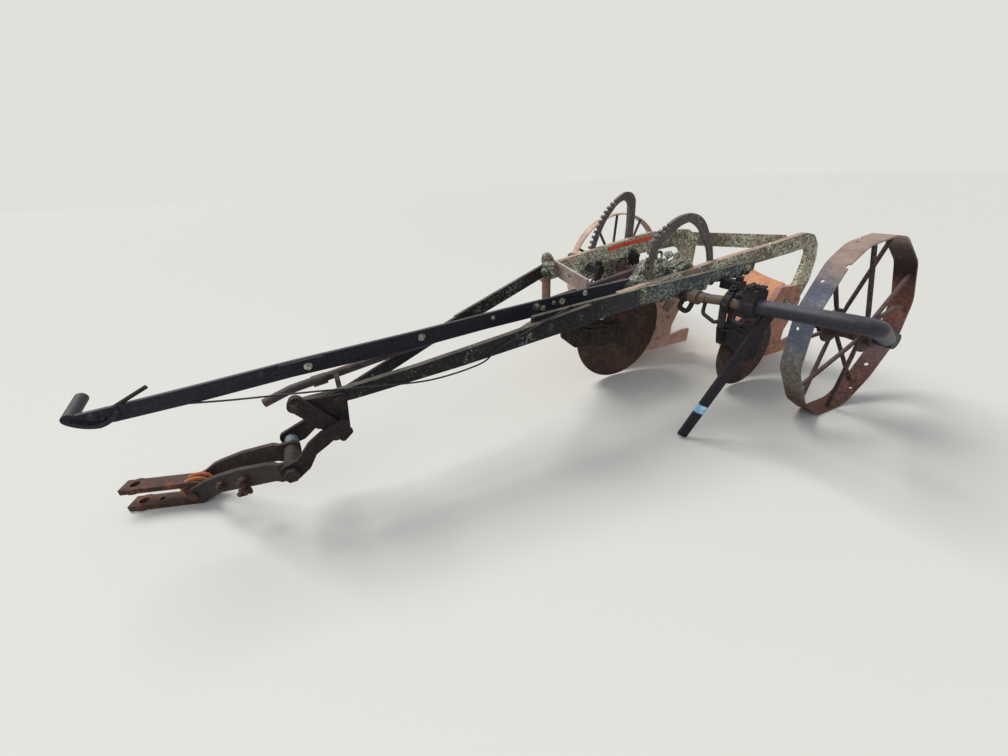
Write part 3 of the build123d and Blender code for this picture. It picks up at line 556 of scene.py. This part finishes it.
def rod(points, radius, sides=10):
    """Round rod: centre + r (cos u n + sin u b) along the line, a fan of faces on each end."""
    line, along = path(points)
    guide = np.array([0.13, 0.2, 1.0])
    normal = unit(np.cross(along, guide))
    u = circle(sides)
    outline = (radius * np.cos(u), radius * np.sin(u))
    wall = swept(line, normal, np.cross(along, normal), outline)
    count, last = len(wall), len(wall) - sides
    corner = np.arange(sides)
    after = (corner + 1) % sides
    first_fan = np.column_stack([np.full(sides, count), after, corner])
    last_fan = np.column_stack([np.full(sides, count + 1), last + corner, last + after])
    return np.vstack([wall, line[:1], line[-1:]]), [rings(len(line), sides), first_fan, last_fan]


LATCH_LINE = [
    (2122, -430, 411), (2014, -400, 406), (1904, -370, 404), (1800, -335, 405),
    (1676, -313, 395), (1507, -313, 372), (1351, -313, 386), (1293, -313, 421),
    (1223, -313, 445), (1127, -313, 478), (1023, -313, 512)]
LATCH_ROD_R = 2.6
build("latch_rod", [rod(LATCH_LINE, LATCH_ROD_R)], LEVER, "frame", smooth=True)


# Crank axles
# Two bent steel axles that carry the wheels on turned spindles. The land one is a thick tube
# held in a cast saddle clamp, worn blue-grey outside the saddle and brown inside it.

# crown: a painted highlight along the tube's top, with some dust.
TUBE = iron("tube_iron", (40, 40, 49), (46, 40, 44), (80, 78, 87), flake=0.22, top_dust_and_highlight=0.6,
            gloss=0.42, crown=(94, 92, 102), inner=(104, 86, 70))
BLACK_IRON = iron("black_casting", (26, 24, 27), (46, 38, 38), (84, 78, 80), flake=0.25,
                  top_dust_and_highlight=0.3, lichen=0.1)
DULL_RUST = iron("spoke_iron", (50, 40, 44), (100, 72, 68), (138, 114, 110), flake=0.45)
coat(TUBE, "land_axle")
coat(BLACK_IRON, "axle_clamp", "land_spindle", "furrow_spindle")
coat(DULL_RUST, "furrow_axle")


# Wheels
# Steel wheels 660 mm across: a rolled rim, an iron hub and twelve round spokes riveted into
# both. The land rim is torn and worn in zones; the furrow one is pale all over, dry rust
# made paler still as painted sunlight.


def land_tread():
    """Land rim, in zones about its axle.

    Red rust behind and blue-grey worn tread ahead; a pinkish crown on top, its lightness partly
    painted highlight; grey ahead and plum behind low down; crumbly brown at the bottom;
    near-black at the top of the rear."""
    paint = Paint("land_rim_iron")
    patch = paint.noise(9.0, 8.0, 0.65, 0.5)
    grain = paint.noise(80.0, 8.0, 0.7)
    grit = paint.noise(300.0, 4.0, 0.75)
    streak = paint.noise(26.0, 6.0, 0.7, 0.2, squeeze=(1.0, 0.25, 1.0))
    ahead = paint.x - float(HOME[0])
    above = paint.z - (float(HOME[2]) + WHEEL_R / 1000)
    mottle = (patch * 0.6 + grain * 0.6).step(0.45, 0.8)
    steel = paint.mix((streak * 0.7 + grain * 0.5).step(0.5, 0.8),
                      colour(82, 88, 104), colour(132, 130, 134))
    rust = paint.mix(mottle, colour(92, 62, 54), colour(150, 102, 86))
    base = paint.mix((ahead + patch * 0.2).step(-0.02, 0.22), rust, steel)
    # Lighter crown on top: pinkish rust, lightened as painted highlight.
    crown = paint.mix((streak + grain * 0.4).step(0.5, 0.85),
                      colour(128, 104, 96), colour(158, 138, 126))
    base = paint.mix((above + patch * 0.2).step(0.28, 0.42), base, crown)
    grey = paint.mix(grain.step(0.35, 0.65), colour(84, 78, 72), colour(126, 122, 112))
    plum = paint.mix(mottle, colour(72, 55, 59), colour(116, 92, 92))
    low_down = paint.mix((patch * 0.1 - ahead).step(0.0, 0.1), grey, plum)
    base = paint.mix((patch * 0.2 - above).step(0.08, 0.2), base, low_down)
    crumbly = paint.mix((grain + grit * 0.4).step(0.55, 0.85),
                        colour(46, 29, 27), colour(104, 68, 58))
    base = paint.mix((patch * 0.25 - above).step(0.26, 0.38), base, crumbly)
    black = (patch * 0.1 - ahead).step(0.14, 0.2) * (above + patch * 0.05).step(0.14, 0.2)
    base = paint.mix(black * 0.85, base, colour(38, 34, 38))
    base = paint.mix(paint.edges(0.003) * 0.6, base, colour(140, 122, 112))
    height = grain * 0.5 + grit * 0.35 + patch * 0.5
    return paint.finish(base, (grain * 0.3 + 0.5).clamp(), height, 0.0014)


# Pale rust, made paler as painted sunlight.
PALE_RUST = iron("furrow_wheel_rust", (130, 110, 100), (198, 164, 142), (222, 202, 186),
                 flake=0.6, lichen=0.2, orange=(212, 160, 128), orange_amount=0.2)
coat(land_tread(), "land_rim")
coat(PALE_RUST, "furrow_rim")
coat(DULL_RUST, "land_hub", "land_spokes", "furrow_spokes")
coat(RED_RUST, "furrow_hub")


# Rolling coulters
# Two flat steel discs that cut the sod ahead of the bottoms. Each turns on a pin in a cast
# yoke, whose shank is clamped to its beam; all of it is dark with earth, grease and rust.

DISC = iron("disc_rust", (44, 33, 32), (86, 64, 56), (124, 100, 86), top_dust_and_highlight=0.35)
# edge: the yoke's worn edges, lightened also as painted highlight on its arm.
YOKE = iron("yoke_iron", (28, 24, 24), (54, 43, 40), (106, 94, 86), flake=0.4, top_dust_and_highlight=0.3, edge=0.6)
coat(DISC, "rear_disc", "front_disc")
coat(YOKE, "front_yoke")
coat(BLACK_IRON, "rear_yoke", "rear_disc_pin", "front_disc_pin", "rear_shank", "front_shank",
     "rear_shank_clamp", "front_shank_clamp")


# Black scale
# Scale and grease that hang in ragged lumps under the crank axle's saddle, on the front
# coulter's clamp, under the front beam and along the side bar's lower edge.

# Rows: place, radii.
SCALE = [
    ((500, -140, 526), (17, 13, 13)), ((512, -70, 548), (22, 18, 12)),
    ((488, -60, 542), (15, 16, 12)), ((508, -104, 516), (20, 20, 10)),
    ((530, -140, 470), (10, 12, 16)), ((688, -672, 522), (10, 12, 9)),
    ((450, -676, 540), (24, 14, 30)), ((452, -668, 512), (16, 12, 16)),
    ((152, -347, 500), (15, 9, 10)), ((186, -346, 499), (12, 9, 13)),
    ((224, -347, 494), (16, 9, 9)), ((262, -346, 492), (11, 9, 12)),
    ((304, -347, 489), (17, 8, 8)), ((352, -346, 485), (13, 8, 9))]
FIRST_SEED = 40
build("black_scale", [lump(*row, seed, knob=0.3) for seed, row in enumerate(SCALE, FIRST_SEED)],
      BLACK_IRON, "frame", smooth=True)


# Plough bottoms
# Curved steel moldboards with their shares on iron frogs, which are bolted through with nuts on
# both sides, and flat landsides. Earth kept them bare, so their rust is the brightest; the
# moldboards' orange is made brighter still as painted sunlight.

FROG = iron("frog_rust", (140, 96, 82), (190, 132, 110), (208, 170, 152), flake=0.6, top_dust_and_highlight=0.6,
            orange=(210, 128, 94), orange_amount=0.3)
PLATE = iron("worn_plate", (160, 132, 120), (196, 162, 148), (222, 204, 190), flake=0.6, edge=0.8,
             orange=(200, 140, 112), orange_amount=0.1)
# Bright orange: fresh rust, brightened as painted sunlight.
SHARE = iron("orange_sheet", (150, 94, 70), (202, 146, 108), (226, 194, 170), flake=0.7, top_dust_and_highlight=0.3,
             orange=(216, 130, 72), orange_amount=0.45)
coat(FROG, "rear_frog", "rear_landside")
coat(PLATE, "front_frog", "front_landside")
coat(SHARE, "rear_moldboard", "front_moldboard")
RIGHT = (0, -1, 0)
FROG_FACE = 12.9  # out from the plane of its bottom, on either side
FROG_BOLTS = [
    ("rear", -370, [
        (-262, 362, "square", 12, 8, 0.1), (-272, 320, "square", 12, 8, 0.3),
        (-150, 112, "square", 12, 8, 0.2)]),
    ("front", -700, [
        (118, 362, "square", 12, 8, 0.2), (108, 320, "square", 12, 8, 0.1),
        (180, 222, "round", 13, 8, 0), (230, 112, "square", 12, 8, 0.4)])]
for bottom, plane, rows in FROG_BOLTS:
    bolts(bottom + "_frog_bolts_left", plane + FROG_FACE, LEFT, FROG, rows)
    bolts(bottom + "_frog_bolts_right", plane - FROG_FACE, RIGHT, FROG, rows)


# Hitch head
# A cross bar, a plate and a fork of thick flat steel, bolted to the front of the hitch bar. The
# fork's pin wears a bare grey sleeve between the drawbar's right strap and the fork's right arm.

# Near-black: dark iron, darkened further as painted shade.
HITCH = iron("hitch_iron", (20, 16, 19), (44, 31, 31), (82, 68, 66), flake=0.4, top_dust_and_highlight=0.35,
             edge=0.6)
STRAP = iron("strap_iron", (32, 27, 28), (58, 43, 39), (94, 80, 76), top_dust_and_highlight=0.4)
SLEEVE = iron("bare_sleeve", (96, 112, 124), (120, 134, 142), (150, 160, 164), flake=0.4,
              top_dust_and_highlight=0.3, gloss=0.4)
coat(HITCH, "hitch_cross", "hitch_plate", "hitch_lug")
coat(STRAP, "hitch_pin")
HITCH_PLATE_FACE, HANGER_FACE = -312.3, -294.0
bolts("hitch_plate_bolts", HITCH_PLATE_FACE, LEFT, HITCH, [
    (1762, 374, "hex", 15, 9, 0.3), (1789, 288, "hex", 15, 9, 0.8)])
bolts("hanger_bolts", HANGER_FACE, LEFT, STRAP, [
    (1866, 396, "square", 14, 9, 0.7), (1790, 284, "hex", 12, 8, 0.1)])
PIN_X, PIN_Z = 1917.0, 212.0
SLEEVE_R, SLEEVE_END_R, SLEEVE_RIGHT, SLEEVE_LEFT = 18.2, 17.5, -463.5, -417.0
points, faces = turned([
    (SLEEVE_END_R, SLEEVE_RIGHT), (SLEEVE_R, SLEEVE_RIGHT + 2.5),
    (SLEEVE_R, SLEEVE_LEFT - 2.0), (SLEEVE_END_R, SLEEVE_LEFT)], 28)
points = points[:, [0, 2, 1]] + np.array([PIN_X, 0.0, PIN_Z])
build("pin_sleeve", [(points, faces)], SLEEVE, "frame", smooth=True)


# Drawbar and clevis
# Two bent flat straps swing on the fork's pin; the clevis with its two holed jaws hangs on the
# pin at their end. Both are forged steel. Rust has swollen the nuts on the left strap.

CLEVIS = iron("clevis_rust", (36, 25, 23), (66, 43, 36), (98, 76, 66), flake=0.6, top_dust_and_highlight=0.4,
              orange=(142, 78, 46), orange_amount=0.3)
coat(STRAP, "drawbar")
coat(CLEVIS, "clevis_pin", "clevis")
STRAP_LOOK = (0.713, 0.701, 0)
build("drawbar_nuts", [
    bolt((2130, -486, 105), STRAP_LOOK, "hex", 15, 14, 0.3),
    bolt((2052, -406, 152), STRAP_LOOK, "hex", 16, 18, 0.1),
    bolt((2057, -411.5, 118), STRAP_LOOK, "hex", 15, 20, 0.7)], CLEVIS, "drawbar")


# Eye loops
# Two loops of 14 mm round iron, wound over the eye at the rear of the clevis and bright orange
# with wet rust. They turn with the clevis.

WET_RUST = iron("wet_orange_rust", (120, 66, 38), (176, 96, 48), (196, 132, 84), flake=0.7,
                top_dust_and_highlight=0.3, gloss=0.5)
CLEVIS_HEADING = np.radians(-18)
EYE = np.array([2225.0, -600.0, 43.0])
LOOP_R, LOOP_IRON_R, LOOP_SWAY = 43.0, 7.0, 5.0


def loop(shift, start, end):
    """Part of a turn about the eye's pin: R (cos a ahead + sin a up) + sway sin 2a aside."""
    ahead = np.array([np.cos(CLEVIS_HEADING), np.sin(CLEVIS_HEADING), 0.0])
    aside = np.array([-np.sin(CLEVIS_HEADING), np.cos(CLEVIS_HEADING), 0.0])
    a = np.radians(np.linspace(start, end, 9))[:, None]
    turn = LOOP_R * (np.cos(a) * ahead + np.sin(a) * np.array([0.0, 0.0, 1.0]))
    return rod(EYE + aside * (shift + LOOP_SWAY * np.sin(a * 2)) + turn, LOOP_IRON_R, 12)


build("eye_loops", [loop(-13, 12, 205), loop(9, -5, 190)], WET_RUST, "clevis",
      smooth=True)


# Prop bar and lot band
# Flat steel bar hung from the crank axle's saddle, to prop the plough when it stands. Near its
# foot a blank blue tape is wrapped round it, 1 mm proud of the iron.

PROP = iron("prop_iron", (24, 20, 27), (38, 31, 38), (70, 62, 72), flake=0.3, top_dust_and_highlight=0.4, gloss=0.5)
coat(PROP, "prop_bar")


def blue_tape():
    """Blue where the tape lies flat, nearly white on its wrinkles."""
    paint = Paint("blue_tape")
    wrinkle = paint.noise(60.0, 4.0, 0.6)
    base = paint.mix(wrinkle.step(0.3, 0.8), colour(96, 168, 214), colour(200, 228, 240))
    return paint.finish(base, 0.45, wrinkle, 0.002)


PROP_TOP, PROP_FOOT = np.array([470.0, -14, 490]), np.array([653.0, -115, 8])
down = unit(PROP_FOOT - PROP_TOP)
wide = np.array([0.6, 1.0, 0.0])
wide = unit(wide - down * (wide @ down))
BAND_SHARES = (0.735, 0.765, 0.795)  # of the way down the bar
BAND_WIDTH, BAND_THICKNESS = 33.6, 15.6
band_line = [PROP_TOP + (PROP_FOOT - PROP_TOP) * share for share in BAND_SHARES]
build("lot_band", [flat_bar(band_line, np.cross(down, wide), BAND_WIDTH, BAND_THICKNESS, 40)],
      blue_tape(), "frame")


# Floor, light and camera
# Plain pale floor, one wide soft sun high over the furrow side, a large faint lamp on the land
# side to fill, and a pale even world. The camera stands where the photograph was taken from.

FLOOR_REACH, FLOOR_SINK = 30.0, 0.0005
corners = FLOOR_REACH * np.array([(-1, -1, 0), (1, -1, 0), (1, 1, 0), (-1, 1, 0)])
floor_mesh = bpy.data.meshes.new("floor")
floor_mesh.from_pydata(corners.tolist(), [], [(0, 1, 2, 3)])
floor_mesh.materials.append(Paint("floor").finish(colour(214, 212, 206), 0.85))
floor = bpy.data.objects.new("floor", floor_mesh)
floor.location.z = -FLOOR_SINK
bpy.context.scene.collection.objects.link(floor)

fill = bpy.data.lights.new("fill", "AREA")
fill.shape, fill.size, fill.energy = "DISK", 3.5, 40.0
fill.color = (0.93, 0.96, 1.0)
fill_lamp = bpy.data.objects.new("fill", fill)
FILL_AT, FILL_AIM = Vector((3.4, 3.4, 3.0)), Vector((0.2, 0.0, 0.3))
fill_lamp.location = FILL_AT
towards = FILL_AIM - FILL_AT
fill_lamp.rotation_euler = towards.to_track_quat("-Z", "Y").to_euler()
bpy.context.scene.collection.objects.link(fill_lamp)

sun = bpy.data.lights.new("soft_key", "SUN")
sun.energy, sun.angle, sun.color = 2.5, np.radians(30), (1.0, 0.97, 0.93)
SUN_STANDS = Vector((0.3, -0.55, 0.85))
key_lamp = bpy.data.objects.new("soft_key", sun)
key_lamp.rotation_euler = SUN_STANDS.to_track_quat("Z", "Y").to_euler()
bpy.context.scene.collection.objects.link(key_lamp)

world = bpy.data.worlds.new("studio")
bpy.context.scene.world = world
air = Board(world)
seen_straight = air.node("LightPath", {}, {}, "Is Camera Ray")
mirrored = seen_straight.beside("Is Glossy Ray")
through = seen_straight.beside("Is Transmission Ray")
visible = (seen_straight + mirrored + through).clamp()
lit = air.node("Background", {}, {"Color": (0.86, 0.93, 1.0, 1.0), "Strength": 0.5})
seen = air.node("Background", {}, {"Color": colour(225, 225, 219), "Strength": 1.0})
backdrop = air.node("MixShader", {}, {0: visible, 1: lit, 2: seen})
air.node("OutputWorld", {}, {"Surface": backdrop})

# The camera's place and axes were fitted to the photograph: to upright lines of known
# spacing, and to the rims of both wheels as circles that stand on the ground.
CAMERA_AT = (1752.4, 734.3, 902.8)
CAMERA_RIGHT = (-0.90003, 0.43398, -0.04015)
CAMERA_DOWN = (0.22904, 0.3926, -0.89073)
CAMERA_AHEAD = (-0.3708, -0.81088, -0.45275)
FOCAL_PIXELS, FRAME_WIDTH, SENSOR_WIDTH = 405.7, 1008, 36.0
camera_data = bpy.data.cameras.new("camera")
camera_data.sensor_width = SENSOR_WIDTH
camera_data.lens = SENSOR_WIDTH * FOCAL_PIXELS / FRAME_WIDTH
camera_data.clip_start = 0.05
camera = bpy.data.objects.new("camera", camera_data)
axes = np.column_stack([CAMERA_RIGHT, -np.array(CAMERA_DOWN), -np.array(CAMERA_AHEAD)])
turn = Matrix([list(row) for row in axes.tolist()]).to_4x4()
camera.matrix_world = Matrix.Translation(Vector(place(CAMERA_AT).tolist())) @ turn
bpy.context.scene.collection.objects.link(camera)
bpy.context.scene.camera = camera
bpy.context.scene.view_settings.view_transform = "Standard"
